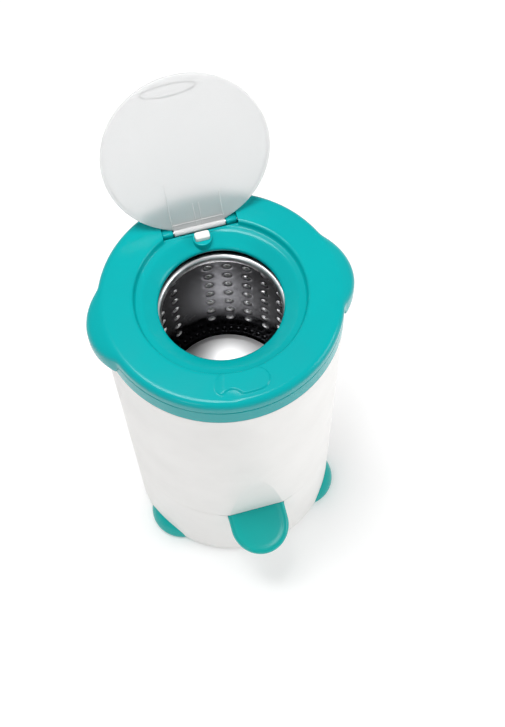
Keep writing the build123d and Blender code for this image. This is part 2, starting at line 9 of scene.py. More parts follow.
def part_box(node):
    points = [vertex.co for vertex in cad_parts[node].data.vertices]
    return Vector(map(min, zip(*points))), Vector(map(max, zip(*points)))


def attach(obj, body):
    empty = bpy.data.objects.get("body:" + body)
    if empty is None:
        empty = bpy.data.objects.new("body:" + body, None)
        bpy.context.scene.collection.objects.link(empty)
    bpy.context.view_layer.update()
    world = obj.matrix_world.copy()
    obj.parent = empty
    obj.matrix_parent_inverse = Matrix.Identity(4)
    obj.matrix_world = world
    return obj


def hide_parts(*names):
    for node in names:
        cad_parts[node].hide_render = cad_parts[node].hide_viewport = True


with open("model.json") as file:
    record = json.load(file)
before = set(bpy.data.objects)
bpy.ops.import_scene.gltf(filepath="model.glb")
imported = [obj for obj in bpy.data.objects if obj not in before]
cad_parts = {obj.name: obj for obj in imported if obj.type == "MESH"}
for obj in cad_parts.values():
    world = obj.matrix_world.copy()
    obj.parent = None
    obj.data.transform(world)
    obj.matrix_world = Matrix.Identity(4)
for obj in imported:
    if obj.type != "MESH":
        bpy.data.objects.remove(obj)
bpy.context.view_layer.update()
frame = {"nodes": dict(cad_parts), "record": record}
scene = bpy.context.scene
nodes = frame["nodes"]
mm = 0.001    # Blender works in metres, the sizes below are in millimetres


def linearColour(hexColour):
    # sRGB hex to the linear colour that a shader socket takes
    parts = [int(hexColour[i:i + 2], 16) / 255 for i in (1, 3, 5)]
    return [c / 12.92 if c <= 0.04045 else ((c + 0.055) / 1.055) ** 2.4 for c in parts] + [1.0]


def smoothStep(low, high, value):
    share = min(1.0, max(0.0, (value - low) / (high - low)))
    return share * share * (3 - 2 * share)


def softMax(a, b, width):
    # the larger of two lengths, with a fillet where they cross
    near = max(width - abs(a - b), 0.0) / width
    return max(a, b) + near * near * width / 4


def addNode(tree, kind, values=None, links=None, **settings):
    node = tree.nodes.new("ShaderNode" + kind)
    for name, value in settings.items():
        setattr(node, name, value)
    for socket, value in (values or {}).items():
        node.inputs[socket].default_value = value
    for socket, source in (links or {}).items():
        tree.links.new(source, node.inputs[socket])
    return node


def wire(tree, source, node, socket):
    tree.links.new(source, node.inputs[socket])


def startMaterial(name, shaderValues):
    material = bpy.data.materials.new(name)
    material.use_nodes = True
    tree = material.node_tree
    tree.nodes.clear()
    shader = addNode(tree, "BsdfPrincipled", shaderValues)
    addNode(tree, "OutputMaterial", links={"Surface": shader.outputs["BSDF"]})
    where = addNode(tree, "TexCoord").outputs["Object"]
    return material, tree, shader, where


# pattern sizes in millimetres that several finishes share
patternSize = {"mouldCloud": 90, "frostBlast": 1.5, "waterMark": 26, "latheLine": 0.9}


def noiseScale(size):
    return 1000 / size    # Object coordinates are metres


def mouldedPlastic(name, colour, shade, roughness, grainMm, grainDepth,
                   ior=1.49, specular=0.5, coat=0.0):
    # injection-moulded plastic looks even and a little waxy: one colour with a broad faint cloudiness,
    # and a spark-eroded grain too fine to see, drawn a few times coarser so that it softens the shine
    material, tree, shader, where = startMaterial(name, {
        "IOR": ior, "Specular IOR Level": specular, "Coat Weight": coat, "Coat Roughness": 0.08})
    cloud = addNode(tree, "TexNoise", {"Scale": noiseScale(patternSize["mouldCloud"]), "Detail": 3.0,
                                       "Roughness": 0.55}, {"Vector": where})
    blend = addNode(tree, "MapRange", {"From Min": 0.35, "From Max": 0.7}, {"Value": cloud.outputs["Fac"]})
    mix = addNode(tree, "Mix", {"A": linearColour(colour), "B": linearColour(shade)},
                  {"Factor": blend.outputs["Result"]}, data_type="RGBA")
    wire(tree, mix.outputs[2], shader, "Base Color")
    sheen = addNode(tree, "MapRange", {"From Min": 0.3, "From Max": 0.7, "To Min": roughness - 0.03,
                                       "To Max": roughness + 0.05}, {"Value": cloud.outputs["Fac"]})
    wire(tree, sheen.outputs["Result"], shader, "Roughness")
    grain = addNode(tree, "TexNoise", {"Scale": noiseScale(grainMm), "Detail": 2.0}, {"Vector": where})
    bump = addNode(tree, "Bump", {"Strength": grainDepth, "Distance": 0.0004},
                   {"Height": grain.outputs["Fac"]})
    wire(tree, bump.outputs["Normal"], shader, "Normal")
    return material


def frostedPlastic(name, colour, clear):
    # frosted moulding: milky and even, it blurs whatever is more than a few millimetres behind it
    material, tree, shader, where = startMaterial(name, {
        "Base Color": linearColour(colour), "Roughness": 0.42, "IOR": 1.49,
        "Transmission Weight": clear, "Specular IOR Level": 0.3})
    blast = addNode(tree, "TexNoise", {"Scale": noiseScale(patternSize["frostBlast"]), "Detail": 3.0},
                    {"Vector": where})
    bump = addNode(tree, "Bump", {"Strength": 0.15, "Distance": 0.0003}, {"Height": blast.outputs["Fac"]})
    wire(tree, bump.outputs["Normal"], shader, "Normal")
    return material


def pressedStainlessPaintedLight(name, colour, roughness, rollMm):
    # cold-rolled 430 sheet: a blurred mirror with the faint upright lines of rolling, duller in patches
    # where water has dried on it
    # the colour given to it paints light: dark for painted shade on the drum wall, near white for painted
    # highlights on the lip and hole rims
    material, tree, shader, where = startMaterial(name, {
        "Metallic": 1.0, "Base Color": linearColour(colour)})
    marks = addNode(tree, "TexNoise", {"Scale": noiseScale(patternSize["waterMark"]), "Detail": 5.0,
                                       "Roughness": 0.62}, {"Vector": where})
    worn = addNode(tree, "MapRange", {"From Min": 0.35, "From Max": 0.72, "To Min": roughness - 0.06,
                                      "To Max": roughness + 0.14}, {"Value": marks.outputs["Fac"]})
    wire(tree, worn.outputs["Result"], shader, "Roughness")
    stretch = addNode(tree, "Mapping", {"Scale": (1.0, 1.0, 0.08)}, {"Vector": where})
    lines = addNode(tree, "TexNoise", {"Scale": noiseScale(rollMm), "Detail": 3.0},
                    {"Vector": stretch.outputs["Vector"]})
    bump = addNode(tree, "Bump", {"Strength": 0.12, "Distance": 0.0003}, {"Height": lines.outputs["Fac"]})
    wire(tree, bump.outputs["Normal"], shader, "Normal")
    return material


def spunStainlessPaintedHighlight():
    # a dome polished on a lathe: its fine lines run round the axis and pull highlights into spokes; its
    # near-white base colour is brighter than steel, a painted highlight
    material, tree, shader, where = startMaterial("spunStainlessPaintedHighlight", {
        "Metallic": 1.0, "Base Color": linearColour("#F8F8F9"),
        "Anisotropic": 0.7, "Anisotropic Rotation": 0.25})
    split = addNode(tree, "SeparateXYZ", links={"Vector": where})
    flat = addNode(tree, "CombineXYZ", links={"X": split.outputs["X"], "Y": split.outputs["Y"]})
    reach = addNode(tree, "VectorMath", links={0: flat.outputs["Vector"]}, operation="LENGTH")
    rings = addNode(tree, "TexNoise", {"Scale": noiseScale(patternSize["latheLine"]), "Detail": 3.0},
                    {"W": reach.outputs["Value"]}, noise_dimensions="1D")
    soft = addNode(tree, "MapRange", {"To Min": 0.42, "To Max": 0.52}, {"Value": rings.outputs["Fac"]})
    wire(tree, soft.outputs["Result"], shader, "Roughness")
    bump = addNode(tree, "Bump", {"Strength": 0.1, "Distance": 0.0002}, {"Height": rings.outputs["Fac"]})
    wire(tree, bump.outputs["Normal"], shader, "Normal")
    around = addNode(tree, "Tangent", direction_type="RADIAL", axis="Z")
    wire(tree, around.outputs["Tangent"], shader, "Tangent")
    return material


def wornMetal(name, colour, shade, roughness, grainMm, grainDepth):
    # plated, cast or ground metal: patchy brightness and a grain that breaks up the highlight
    material, tree, shader, where = startMaterial(name, {"Metallic": 1.0})
    grain = addNode(tree, "TexNoise", {"Scale": noiseScale(grainMm), "Detail": 6.0, "Roughness": 0.6},
                    {"Vector": where})
    mix = addNode(tree, "Mix", {"A": linearColour(colour), "B": linearColour(shade)},
                  {"Factor": grain.outputs["Fac"]}, data_type="RGBA")
    wire(tree, mix.outputs[2], shader, "Base Color")
    rough = addNode(tree, "MapRange", {"To Min": roughness - 0.08, "To Max": roughness + 0.12},
                    {"Value": grain.outputs["Fac"]})
    wire(tree, rough.outputs["Result"], shader, "Roughness")
    bump = addNode(tree, "Bump", {"Strength": grainDepth, "Distance": 0.0004},
                   {"Height": grain.outputs["Fac"]})
    wire(tree, bump.outputs["Normal"], shader, "Normal")
    return material


# moulded shell: matt white body, glossier teal cover, and feet and spout in a greener, softer plastic
whiteCasing = mouldedPlastic("whitePolypropylene", "#EDECEA", "#E9E8E6", 0.42, 1.6, 0.06)
tealCover = mouldedPlastic("tealAbs", "#009FA1", "#009B9E", 0.17, 1.8, 0.03, ior=1.53, specular=0.15)
tealFeet = mouldedPlastic("tealPolypropylene", "#0AACA6", "#08A6A1", 0.22, 1.8, 0.04, specular=0.28)
# the lid lets some of the cover's colour through; its ribs and knuckle are thicker, so whiter
frosted = frostedPlastic("frostedPolypropylene", "#EDEDED", 0.66)
frostedRib = frostedPlastic("milkyPolypropylene", "#ECECEC", 0.4)
# painted light: the drum's wall is painted near-black steel, a painted shade for its dark inside, while its
# lip and the rims of its holes are near-white copies of the same steel, painted highlights
drumSteelPaintedShade = pressedStainlessPaintedLight("pressedStainlessPaintedLight", "#3D3D40", 0.17, 1.2)
lipSteelPaintedHighlight = pressedStainlessPaintedLight("rolledStainlessPaintedHighlight", "#F0F0F1", 0.34, 1.2)
punchedRimPaintedHighlight = pressedStainlessPaintedLight("punchedStainlessPaintedHighlight", "#F2F2F3", 0.4, 1.2)
domeSteelPaintedHighlight = spunStainlessPaintedHighlight()
slotFinish = {
    "casing_white": whiteCasing,
    "teal_cover": tealCover,
    "teal_plastic": tealFeet,
    "frosted_lid": frosted,
    "drum_stainless": drumSteelPaintedShade,
    # glossy white button
    "white_button": mouldedPlastic("whiteAbs", "#E2E1DE", "#DEDDDA", 0.22, 1.5, 0.03, ior=1.53),
    # dull greys and blacks of the parts inside; the rubber is the dullest, the enamel has a clear gloss
    "grey_plastic": mouldedPlastic("greyNylon", "#6D7072", "#65686A", 0.45, 1.2, 0.1),
    "pan_plastic": mouldedPlastic("greyPolypropylene", "#8A8F90", "#828788", 0.45, 1.6, 0.08),
    "switch_black": mouldedPlastic("blackPhenolic", "#26272A", "#2C2D30", 0.35, 1.0, 0.05),
    "rubber_black": mouldedPlastic("blackNitrileRubber", "#1E1E1F", "#28282A", 0.7, 0.9, 0.25,
                                   specular=0.3),
    "motor_paint": mouldedPlastic("blackStoveEnamel", "#1C1D1F", "#232427", 0.35, 0.8, 0.08, coat=0.3),
    # warm varnished copper, bright zinc plate, clean ground steel and a rougher grey for cast and cut metal
    "copper_enamel": wornMetal("varnishedCopper", "#B5653B", "#8A4526", 0.35, 0.9, 0.4),
    "screw_steel": wornMetal("zincPlatedSteel", "#C9CBCC", "#AEB2B6", 0.32, 2.5, 0.1),
    "zinc_plate": wornMetal("zincPlatedSheet", "#C4C5BF", "#A9ABA6", 0.36, 6.0, 0.1),
    "pin_steel": wornMetal("groundSteelRod", "#CFCFD1", "#BDBDC0", 0.25, 0.7, 0.08),
    "spring_steel": wornMetal("drawnSpringWire", "#A9AAAD", "#8F9093", 0.3, 0.6, 0.1),
    "cast_aluminium": wornMetal("sandCastAluminium", "#BFC0C2", "#A5A6A9", 0.5, 1.4, 0.5),
    "bearing_steel": wornMetal("groundBearingSteel", "#D6D6D8", "#C6C6C9", 0.2, 0.6, 0.05),
    "core_steel": wornMetal("laminatedCoreSteel", "#8D8E91", "#6E6F73", 0.42, 0.8, 0.3),
}
slotOf = {part["node"]: part["material_slot"] for part in frame["record"]["subparts"]}
for nodeName, node in nodes.items():
    node.data.materials.clear()
    node.data.materials.append(slotFinish[slotOf[nodeName]])
nodes["collar_ring"].data.materials[0] = tealCover    # moulded in the cover's own plastic
print("finishes ready")


def vertsOf(geometry):
    return [g for g in geometry if isinstance(g, bmesh.types.BMVert)]


def spinProfile(points, steps, closed=False):
    # turns a profile of (radius, height) in millimetres round the Z axis; each vertex remembers its row
    bm = bmesh.new()
    row = bm.verts.layers.int.new("row")
    made = []
    for index, (radius, height) in enumerate(points):
        vert = bm.verts.new((radius * mm, 0, height * mm))
        vert[row] = index
        made.append(vert)
    pairs = list(zip(made, made[1:])) + ([(made[-1], made[0])] if closed else [])
    edges = [bm.edges.new(pair) for pair in pairs]
    bmesh.ops.spin(bm, geom=made + edges, cent=(0, 0, 0), axis=(0, 0, 1), angle=math.tau,
                   steps=steps, use_merge=True, use_duplicate=False)
    return bm


def extrudeRing(bm, edges):
    # pulls a copy of an edge loop out of it and returns the copy's vertices and edges
    grown = bmesh.ops.extrude_edge_only(bm, edges=edges)["geom"]
    verts = vertsOf(grown)
    known = set(verts)
    return verts, [g for g in grown if isinstance(g, bmesh.types.BMEdge) and set(g.verts) <= known]


def growRings(bm, edges, profile):
    # carries an open round loop on through a profile of (radius, height) and returns the last loop
    for radius, height in profile:
        verts, edges = extrudeRing(bm, edges)
        for vert in verts:
            angle = math.atan2(vert.co.y, vert.co.x)
            vert.co = (radius * math.cos(angle) * mm, radius * math.sin(angle) * mm, height * mm)
    return edges


def markSharp(bm, angle):
    for face in bm.faces:
        face.smooth = True
    for edge in bm.edges:
        edge.smooth = not (len(edge.link_faces) == 2 and edge.calc_face_angle(0) > math.radians(angle))


def makePiece(bm, name, material, body, replaced=(), sharp=32):
    bmesh.ops.remove_doubles(bm, verts=bm.verts, dist=0.004 * mm)
    bmesh.ops.recalc_face_normals(bm, faces=bm.faces)
    markSharp(bm, sharp)
    mesh = bpy.data.meshes.new(name)
    bm.to_mesh(mesh)
    bm.free()
    mesh.materials.append(material)
    piece = bpy.data.objects.new(name, mesh)
    scene.collection.objects.link(piece)
    if replaced:
        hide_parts(*replaced)
    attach(piece, body)
    return piece


def applyModifiers(piece, sharp=32):
    # puts the modifiers into the mesh and marks its sharp edges again
    bpy.context.view_layer.update()
    graph = bpy.context.evaluated_depsgraph_get()
    mesh = bpy.data.meshes.new_from_object(piece.evaluated_get(graph))
    piece.modifiers.clear()
    bm = bmesh.new()
    bm.from_mesh(mesh)
    bmesh.ops.remove_doubles(bm, verts=bm.verts, dist=0.002 * mm)
    bmesh.ops.dissolve_degenerate(bm, edges=bm.edges, dist=0.002 * mm)
    markSharp(bm, sharp)
    bm.to_mesh(mesh)
    bm.free()
    piece.data = mesh


def boxMesh(low, high, rounding=0.0, segments=3):
    # a box between two corners in millimetres, its edges rounded
    bm = bmesh.new()
    size = [b - a for a, b in zip(low, high)]
    middle = [(a + b) / 2 for a, b in zip(low, high)]
    bmesh.ops.create_cube(bm, size=mm)
    bmesh.ops.scale(bm, vec=size, verts=bm.verts)
    bmesh.ops.translate(bm, vec=[c * mm for c in middle], verts=bm.verts)
    if rounding:
        bmesh.ops.bevel(bm, geom=bm.edges, offset=rounding * mm, offset_type="OFFSET", affect="EDGES",
                        segments=segments, profile=0.5, material=-1, clamp_overlap=True)
    return bm


def cutAway(piece, bm):
    # subtracts a mesh from a piece
    mesh = bpy.data.meshes.new("cutter")
    bmesh.ops.recalc_face_normals(bm, faces=bm.faces)
    bm.to_mesh(mesh)
    bm.free()
    cutter = bpy.data.objects.new("cutter", mesh)
    scene.collection.objects.link(cutter)
    cut = piece.modifiers.new("cut", "BOOLEAN")
    cut.operation, cut.solver, cut.object = "DIFFERENCE", "EXACT", cutter
    applyModifiers(piece)
    bpy.data.objects.remove(cutter)


# moulded cover: one spun section, pulled out sideways into two grips, with a raised pad at the front
cover = {
    "steps": 288,
    "radius": 185.0,
    "skirtLow": 623.3,
    "bundleRadius": 182.9,     # the grips' underside starts here
    "hingePocket": ((-59, 119.5, 626), (59, 134.6, 660), 1.5),    # low corner, high corner, rounding
    "pocketFront": ((-59, 108, 635.3), (59, 134.6, 660), 1.0),
    "plungerHole": ((-11.8, 103.7, 600), (11.8, 117.3, 641), 3.5),
}
grips = {
    "centre": 125.5,
    "radius": 79.7,
    "reach": 205.2,
    "fillet": 3.5,
    "low": 600.6,
    "sideTop": 626,            # rows of the widest section below this belong to its side wall
    "wall": 3.2,
    "deep": 31.5,
    "leastDeep": 0.4,
    "leastWall": 0.6,
    "startsAt": 0.002,         # share of the full reach below which the edge stays plain
    "outerStart": 1.5,         # outer and inner wall of the hollow beside the plain edge, and how far
    "outerSpread": 2.2,        # they move apart as the grip widens
    "innerStart": 0.5,
    "innerSpread": 2.8,
    # shares of the full reach over which each thing changes
    "dropOver": (0.0, 0.16),
    "tallOver": (0.05, 0.6),
    "leanOver": (0.05, 0.5),
    "spreadOver": (0, 0.2),
    "deepenOver": (0.25, 0.75),
}
pad = {
    "middle": -2.9,            # degrees from the front, towards +X
    "halfLength": 41.0,
    "halfWidth": 18.2,
    "ring": 149.6,
    "rise": 2.4,
    "edge": (1.3, -1.6),
    "tail": (-43.0, -24.0),    # the pad rises gently out of the cover at this end
    "scoopAlong": -16.0,
    "scoopAcross": 21.0,
    "scoopRadius": 12.5,
    "scoopFillet": 5,
    "scoopSlope": (3, -9),
    "scoopDip": 0.5,
    "finerFrom": 131,          # ring of the cover that gets a finer mesh
    "finerTo": 174.5,
    "finerAngle": 24,
    "finerAbove": 645.6,
    "liftAbove": 645.7,        # only the flat top is lifted
    "innerFade": (131, 133.5),
}

# upper surface from the mouth out to the skirt
coverUpper = [
    (95.4, 613.5), (95.2, 614.4), (95.2, 616.8), (95.8, 618.8), (97.4, 620.5), (100.2, 622.5),
    (106, 626.2), (111.5, 629.8), (115.6, 632.3), (118.4, 633.7), (121, 634.3), (124.4, 634.6),
    (126.8, 635.1), (128.3, 636.6), (129.0, 639.0), (129.7, 642.0), (130.6, 644.4), (132.0, 645.6),
    (134.2, 646),
]
coverUpper += [(136.4 + 2.2 * k, 646) for k in range(17)]
# plain edge and, beside it, the same rows where a grip is widest
edgeRows = [
    ((174.3, 646), (173.6, 646)), ((176.3, 645.8), (177.2, 645.7)), ((178.4, 645.2), (181.0, 644.7)),
    ((180.4, 644.1), (184.8, 643.1)), ((182.1, 642.6), (188.6, 641.2)), ((183.5, 640.7), (192.6, 639.3)),
    ((184.4, 638.8), (196.6, 637.1)), ((184.85, 637.1), (200.2, 634.3)), ((185, 635.3), (202.9, 630.8)),
    ((185, 632.6), (204.5, 626.8)), ((185, 629.6), (205.2, 622)), ((185, 627), (205.2, 613)),
    ((185, 625), (205.1, 605)), ((184.7, 623.9), (204.5, 602)), ((183.9, 623.3), (203.4, 600.6)),
    ((183.2, 623.3), (202.4, 600.6)),
]
# underside of the grip: share of the way in from its outer wall, and share of its height;
# past 1.0 the row has crossed the inner wall and climbs back to the skirt
pocketRows = [
    (0, 0.03), (0, 0.3), (0.02, 0.65), (0.1, 0.85), (0.25, 0.97), (0.5, 1.0), (0.75, 0.97), (0.9, 0.85),
    (0.98, 0.65), (1.0, 0.3), (1.0, 0.03), (1.06, 0), (1.18, 0), (1.24, 0.03), (1.25, 0.35), (1.25, 0.72),
]
crossedBy, climbedBy = 0.18, 0.72    # where those last rows reach the skirt's radius and height
coverUnder = [
    (182.6, 623.3), (182.2, 624.4), (182.2, 635.3), (181.6, 638.3), (180, 641), (177.5, 642.6),
    (174.3, 643.2), (150, 643.2), (136, 643.1), (133.6, 642), (132.7, 639), (132.1, 634.5), (130.4, 632.2),
    (127, 631.8), (121, 631.6), (117.4, 630.6), (108, 624.5), (99.4, 618.8), (98.0, 616.6), (97.5, 614.4),
    (96.9, 613.3), (96.1, 612.9),
]


def gripOutline(angle):
    # how far the cover reaches at an angle from the X axis
    side = grips["centre"] * abs(math.cos(angle))
    lobe = side + math.sqrt(max(0, grips["radius"] ** 2 - (grips["centre"] * math.sin(angle)) ** 2))
    return softMax(cover["radius"], lobe, grips["fillet"])


def padHeight(x, y):
    # raised pad in front of the mouth, with a finger scoop in its outer side
    angle = math.degrees(math.atan2(x, -y)) - pad["middle"]
    along = math.radians(angle) * pad["ring"]
    across = math.hypot(x, y) - pad["ring"]
    straight = pad["halfLength"] - pad["halfWidth"]
    edge = math.hypot(max(abs(along) - straight, 0), across) - pad["halfWidth"]
    scoop = math.hypot(along - pad["scoopAlong"], across - pad["scoopAcross"]) - pad["scoopRadius"]
    edge = softMax(edge, -scoop, pad["scoopFillet"])
    fade = smoothStep(*pad["tail"], along)
    dip = smoothStep(*pad["scoopSlope"], scoop) * pad["scoopDip"]
    return pad["rise"] * fade * smoothStep(*pad["edge"], edge) - dip


def edgePlace(index, outline, grown, bottom):
    # radius and height of a row of the outer edge
    (plainRadius, plainHeight), (wideRadius, wideHeight) = edgeRows[index]
    if wideHeight < grips["sideTop"]:    # the side wall ends at the grip's own lower edge
        height = bottom + (wideHeight - grips["low"]) * smoothStep(*grips["tallOver"], grown)
        radius = outline - (grips["reach"] - wideRadius) * smoothStep(*grips["leanOver"], grown)
        return min(radius, outline - (cover["radius"] - plainRadius)), height
    return (plainRadius + (wideRadius - plainRadius) * grown,
            plainHeight + (wideHeight - plainHeight) * grown)


def pocketPlace(index, outline, grown, bottom):
    # radius and height of a row of the hollow under a grip
    inward, upward = pocketRows[index]
    spread = smoothStep(*grips["spreadOver"], grown)
    outer = max(outline - grips["wall"],
                cover["radius"] + grips["outerStart"] + grips["outerSpread"] * spread)
    inner = cover["radius"] + grips["innerStart"] + grips["innerSpread"] * spread
    if inward > 1:
        crossed = min(1.0, (inward - 1) / crossedBy)
        radius = inner - (inner - cover["radius"] - grips["innerStart"]) * crossed
        height = bottom + upward * (cover["skirtLow"] - bottom) / climbedBy
    else:
        deepened = smoothStep(*grips["deepenOver"], grown)
        radius = outer + (inner - outer) * inward
        height = bottom + upward * (grips["leastDeep"] + (grips["deep"] - grips["leastDeep"]) * deepened)
    return min(radius, outline - grips["leastWall"]), height


def shapeCover(bm):
    # moves the outer rows of the spun section out to the grips
    row = bm.verts.layers.int["row"]
    firstEdge, firstPocket = len(coverUpper), len(coverUpper) + len(edgeRows)
    firstUnder = firstPocket + len(pocketRows)
    for vert in bm.verts:
        if not firstEdge <= vert[row] < firstUnder:
            continue
        angle = math.atan2(vert.co.y, vert.co.x)
        outline = gripOutline(angle)
        grown = min(1.0, (outline - cover["radius"]) / (grips["reach"] - cover["radius"]))
        if grown < grips["startsAt"]:
            continue
        dropped = smoothStep(*grips["dropOver"], grown)
        bottom = cover["skirtLow"] + (grips["low"] - cover["skirtLow"]) * dropped
        if vert[row] < firstPocket:
            radius, height = edgePlace(vert[row] - firstEdge, outline, grown, bottom)
        else:
            radius, height = pocketPlace(vert[row] - firstPocket, outline, grown, bottom)
        vert.co = (radius * math.cos(angle) * mm, radius * math.sin(angle) * mm, height * mm)


def nearPad(face):
    x, y, z = face.calc_center_median() / mm
    inRing = pad["finerFrom"] < math.hypot(x, y) < pad["finerTo"]
    atFront = abs(math.atan2(x, -y)) < math.radians(pad["finerAngle"])
    return z > pad["finerAbove"] and inRing and atFront


def raisePad(bm):
    # a finer mesh under the pad, then the pad itself
    for _ in range(2):
        chosen = dict.fromkeys(edge for face in bm.faces if nearPad(face) for edge in face.edges)
        bmesh.ops.subdivide_edges(bm, edges=list(chosen), cuts=1, use_grid_fill=True)
    for vert in bm.verts:
        x, y, z = vert.co / mm
        if z > pad["liftAbove"] and y < 0:
            vert.co.z += padHeight(x, y) * mm * smoothStep(*pad["innerFade"], math.hypot(x, y))


# the rows of the grips' underside start a hair apart, so that the spin keeps every one
bundle = [(cover["bundleRadius"] - 0.001 * number, cover["skirtLow"])
          for number in range(len(pocketRows))]
coverPoints = coverUpper + [plain for plain, wide in edgeRows] + bundle + coverUnder
coverBm = spinProfile(coverPoints, cover["steps"], closed=True)
shapeCover(coverBm)
bmesh.ops.remove_doubles(coverBm, verts=coverBm.verts, dist=0.03 * mm)
raisePad(coverBm)
topCover = makePiece(coverBm, "topCover", tealCover, "cabinet", ["top_cover"], sharp=60)
for opening in ("hingePocket", "pocketFront", "plungerHole"):
    cutAway(topCover, boxMesh(*cover[opening]))
print("cover shaped")

# tray that closes the hinge pocket underneath
tray = {
    "low": (-59.6, 119.0, 625.4),
    "high": (59.6, 135.2, 643.4),
    "sheet": 2.4,
    "frontCut": ((-70, 115, 634.9), (70, 121.4, 660)),    # the closed lid passes over its front wall
}
trayBm = boxMesh(tray["low"], tray["high"])
bmesh.ops.delete(trayBm, geom=[f for f in trayBm.faces if f.normal.z > 0.9], context="FACES_ONLY")
bmesh.ops.recalc_face_normals(trayBm, faces=trayBm.faces)
bmesh.ops.solidify(trayBm, geom=trayBm.faces, thickness=-tray["sheet"] * mm)
hingeTray = makePiece(trayBm, "hingeTray", tealCover, "cabinet")
cutAway(hingeTray, boxMesh(*tray["frontCut"]))

# ears that hold the hinge pin at both ends, inside the arc that the lid's edge sweeps
ear = {"from": 41.0, "to": 59.4, "front": 122.4, "rear": 135.2, "low": 625.5, "high": 641.8,
       "rounding": 3.2}
for name, side in (("hingeEarLeft", -1), ("hingeEarRight", 1)):
    left, right = sorted((side * ear["from"], side * ear["to"]))
    earBm = boxMesh((left, ear["front"], ear["low"]), (right, ear["rear"], ear["high"]),
                    ear["rounding"], 5)
    makePiece(earBm, name, tealCover, "cabinet", sharp=50)

# low wall between the pocket and the recess
sill = {"low": (-59.4, 119.0, 625.5), "high": (59.4, 120.6, 634.9), "rounding": 0.5}
sillBm = boxMesh(sill["low"], sill["high"], sill["rounding"])
makePiece(sillBm, "hingeSill", tealCover, "cabinet")

# boss round the plunger, open where the plunger slides
boss = {
    "radius": 15.0,
    "low": 620.0,
    "high": 634.8,
    "rear": 119.3,
    "centre": 110.5,
    "rounding": 1.6,
    "slide": ((-11.8, 103.7, 600), (11.8, 117.3, 660), 3.5, 5),
}
bossBm = bmesh.new()
bmesh.ops.create_circle(bossBm, cap_ends=True, segments=64, radius=boss["radius"] * mm)
bmesh.ops.translate(bossBm, vec=(0, boss["centre"] * mm, boss["low"] * mm), verts=bossBm.verts)
raised = bmesh.ops.extrude_face_region(bossBm, geom=bossBm.faces[:])
bmesh.ops.translate(bossBm, vec=(0, 0, (boss["high"] - boss["low"]) * mm), verts=vertsOf(raised["geom"]))
rimEdges = [e for e in bossBm.edges if all(v.co.z > (boss["high"] - 0.1) * mm for v in e.verts)]
bmesh.ops.bevel(bossBm, geom=rimEdges, offset=boss["rounding"] * mm, affect="EDGES", segments=4,
                profile=0.5, material=-1)
bmesh.ops.bisect_plane(bossBm, geom=bossBm.verts[:] + bossBm.edges[:] + bossBm.faces[:], dist=1e-7,
                       plane_co=(0, boss["rear"] * mm, 0), plane_no=(0, 1, 0), clear_outer=True)
bmesh.ops.holes_fill(bossBm, edges=[e for e in bossBm.edges if e.is_boundary])
plungerBoss = makePiece(bossBm, "plungerBoss", tealCover, "cabinet", sharp=50)
cutAway(plungerBoss, boxMesh(*boss["slide"]))
print("hinge pocket and plunger boss fitted")


# frosted lid, made lying flat with the hinge on the X axis and then leant back
lid = {
    "steps": 192,
    "hingeY": 126.5,
    "hingeZ": 638.0,
    "lean": 63.0,           # degrees above level
    "thick": 3.0,
    "beadFade": (22, 40),   # the bead on the outside stops short of the hinge
}
lean = math.radians(lid["lean"])
# local X runs along the hinge, Y away from it, and Z out of the face that closes onto the drum
lidPlace = Matrix(((1, 0, 0, 0),
                   (0, math.cos(lean), -math.sin(lean), lid["hingeY"] * mm),
                   (0, math.sin(lean), math.cos(lean), lid["hingeZ"] * mm),
                   (0, 0, 0, 1)))
half = lid["thick"] / 2
lidProfile = [
    (0, half), (30, half), (55, half), (90, half),
    (118, half), (121.5, half + 0.1), (124.5, half + 0.35), (126.3, half + 0.1), (127.2, half - 0.6),
    (127.5, 0), (127.3, -half - 0.6), (126.6, -half - 1.5), (125, -half - 1.9), (123.6, -half - 1.5),
    (122.8, -half - 0.4), (121.8, -half), (90, -half), (55, -half), (30, -half), (0, -half),
]
lidBm = spinProfile(lidProfile, lid["steps"])
bmesh.ops.translate(lidBm, vec=(0, lid["hingeY"] * mm, 0), verts=lidBm.verts)
for vert in lidBm.verts:
    x, y, z = vert.co / mm
    if z < -half:
        vert.co.z = (-half + (z + half) * smoothStep(*lid["beadFade"], y)) * mm
bmesh.ops.transform(lidBm, matrix=lidPlace, verts=lidBm.verts)
makePiece(lidBm, "lidDisc", frosted, "lid", ["lid"], sharp=40)

# hinge plate on the outside of the disc and ribs on the inside: low corner, high corner, rounding
sunk = half - 0.02    # ribs start a hair inside the disc
lidRibs = [
    ((-40.5, 2, -half - 1.3), (40.5, 15.5, -half - 0.02), 0.4),    # hinge plate
    ((-42.4, 8, sunk), (-41.1, 86, half + 0.9), 0.3),              # long rib
    ((38, 4, sunk), (39.5, 56, half + 0.9), 0.3),                  # short rib
    ((-4.6, 4, sunk), (-3.6, 44, half + 0.8), 0.2),                # pair in the middle
    ((4.2, 4, sunk), (5.2, 44, half + 0.8), 0.2),
    ((-40, 13.2, sunk), (40, 14.2, half + 0.9), 0.2),              # cross rib along the hinge
]
for number, (low, high, rounding) in enumerate(lidRibs):
    ribBm = boxMesh(low, high, rounding, 2)
    bmesh.ops.transform(ribBm, matrix=lidPlace, verts=ribBm.verts)
    makePiece(ribBm, f"lidRib{number}", frostedRib, "lid", sharp=40)

